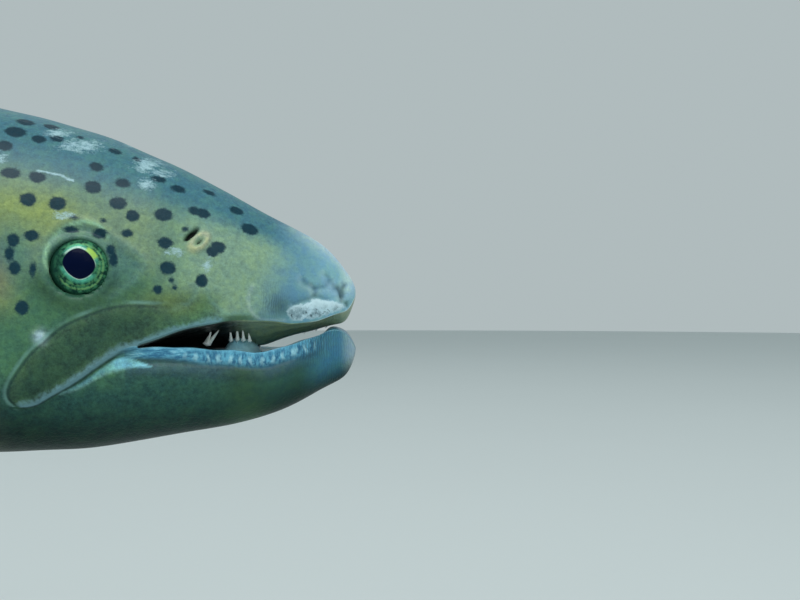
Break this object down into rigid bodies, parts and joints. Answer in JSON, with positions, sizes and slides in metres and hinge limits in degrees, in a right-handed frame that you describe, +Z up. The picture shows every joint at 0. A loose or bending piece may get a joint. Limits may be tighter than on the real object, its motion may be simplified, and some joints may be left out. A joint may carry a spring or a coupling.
{
  "type": "rainbow trout",
  "caption": "Life-size spotted trout with a slightly open toothed mouth, held swimming on two short rods over a flat round-cornered base.",
  "frame": {"origin": "centre of the stand's underside", "axes": "+X towards the snout, +Y to the fish's left, +Z up"},
  "size_m": [0.7153, 0.1644, 0.3325],
  "materials": {
    "skin": "wet fish skin, olive green above with dark round spots, paler below, satin gloss",
    "fin": "thin rayed fin membrane, olive with small dark spots",
    "eye": "wet clear dome over a gold-green iris and a dark pupil",
    "mouth": "pale wet lining of the mouth, gums and teeth",
    "stand_wood": "dark stained wood, satin varnish",
    "stand_steel": "brushed steel rod"
  },
  "bodies": {
    "root": {"head": "skin", "trunk": "skin", "tail_stalk": "skin", "lower_jaw": "skin", "maxilla_left": "skin", "maxilla_right": "skin", "gill_cover_left": "skin", "gill_cover_right": "skin", "dorsal_fin": "fin", "adipose_fin": "fin", "anal_fin": "fin", "caudal_fin": "fin", "pectoral_fin_left": "fin", "pectoral_fin_right": "fin", "pelvic_fin_left": "fin", "pelvic_fin_right": "fin", "eye_left": "eye", "eye_right": "eye", "tongue": "mouth", "stand_base": "stand_wood", "stand_rod_front": "stand_steel", "stand_rod_rear": "stand_steel"}
  },
  "joints": []
}
